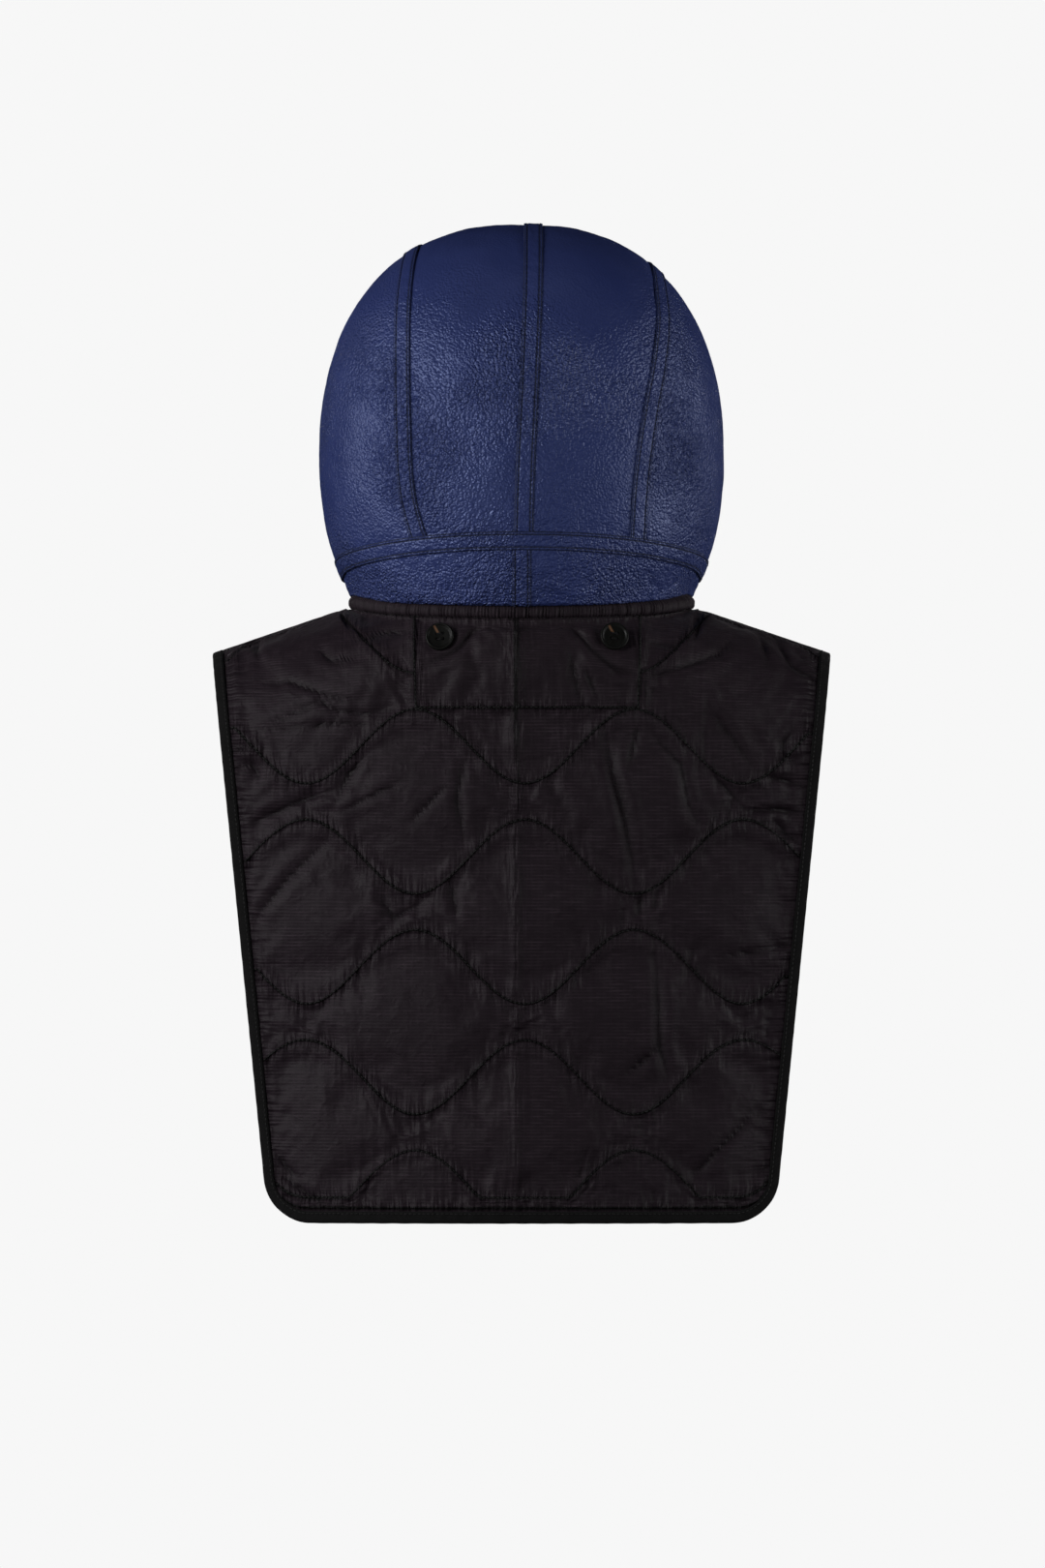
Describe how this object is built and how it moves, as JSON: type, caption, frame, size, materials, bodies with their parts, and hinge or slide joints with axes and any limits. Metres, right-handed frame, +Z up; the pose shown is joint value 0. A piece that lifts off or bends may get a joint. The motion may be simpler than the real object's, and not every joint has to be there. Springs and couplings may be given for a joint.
{
  "type": "shearling hood with quilted bib",
  "caption": "Blue leather-side-out shearling hood with raised seam strips, a gathered neck roll and a padded bib quilted in waves with bound edges.",
  "frame": {"origin": "inside top of the crown, where the wearer's head carries the hood", "axes": "+Z up, +Y towards the face opening, +X to the right as seen from behind, which is the wearer's right"},
  "size_m": [0.4162, 0.2329, 0.6713],
  "materials": {
    "leather_blue": "satin, fine pebble grain",
    "wool_navy": "short curled sheep's wool, matt",
    "ripstop_black": "plum-black ripstop with a slight sheen",
    "roll_black": "gathered cloth, soft sheen",
    "tape_black": "matt woven tape",
    "horn_black": "polished horn look with a tan streak"
  },
  "bodies": {
    "root": {"crown_panel_left": "leather_blue", "crown_panel_right": "leather_blue", "side_panel_left": "leather_blue", "side_panel_right": "leather_blue", "neck_panel_left": "leather_blue", "neck_panel_right": "leather_blue", "crown_strip": "leather_blue", "side_strip_left": "leather_blue", "side_strip_right": "leather_blue", "nape_strip": "leather_blue", "neck_strip": "leather_blue", "neck_roll": "roll_black", "back_bib": "ripstop_black", "front_bib": "ripstop_black", "edge_binding": "tape_black", "button_left": "horn_black", "button_right": "horn_black"}
  },
  "joints": []
}
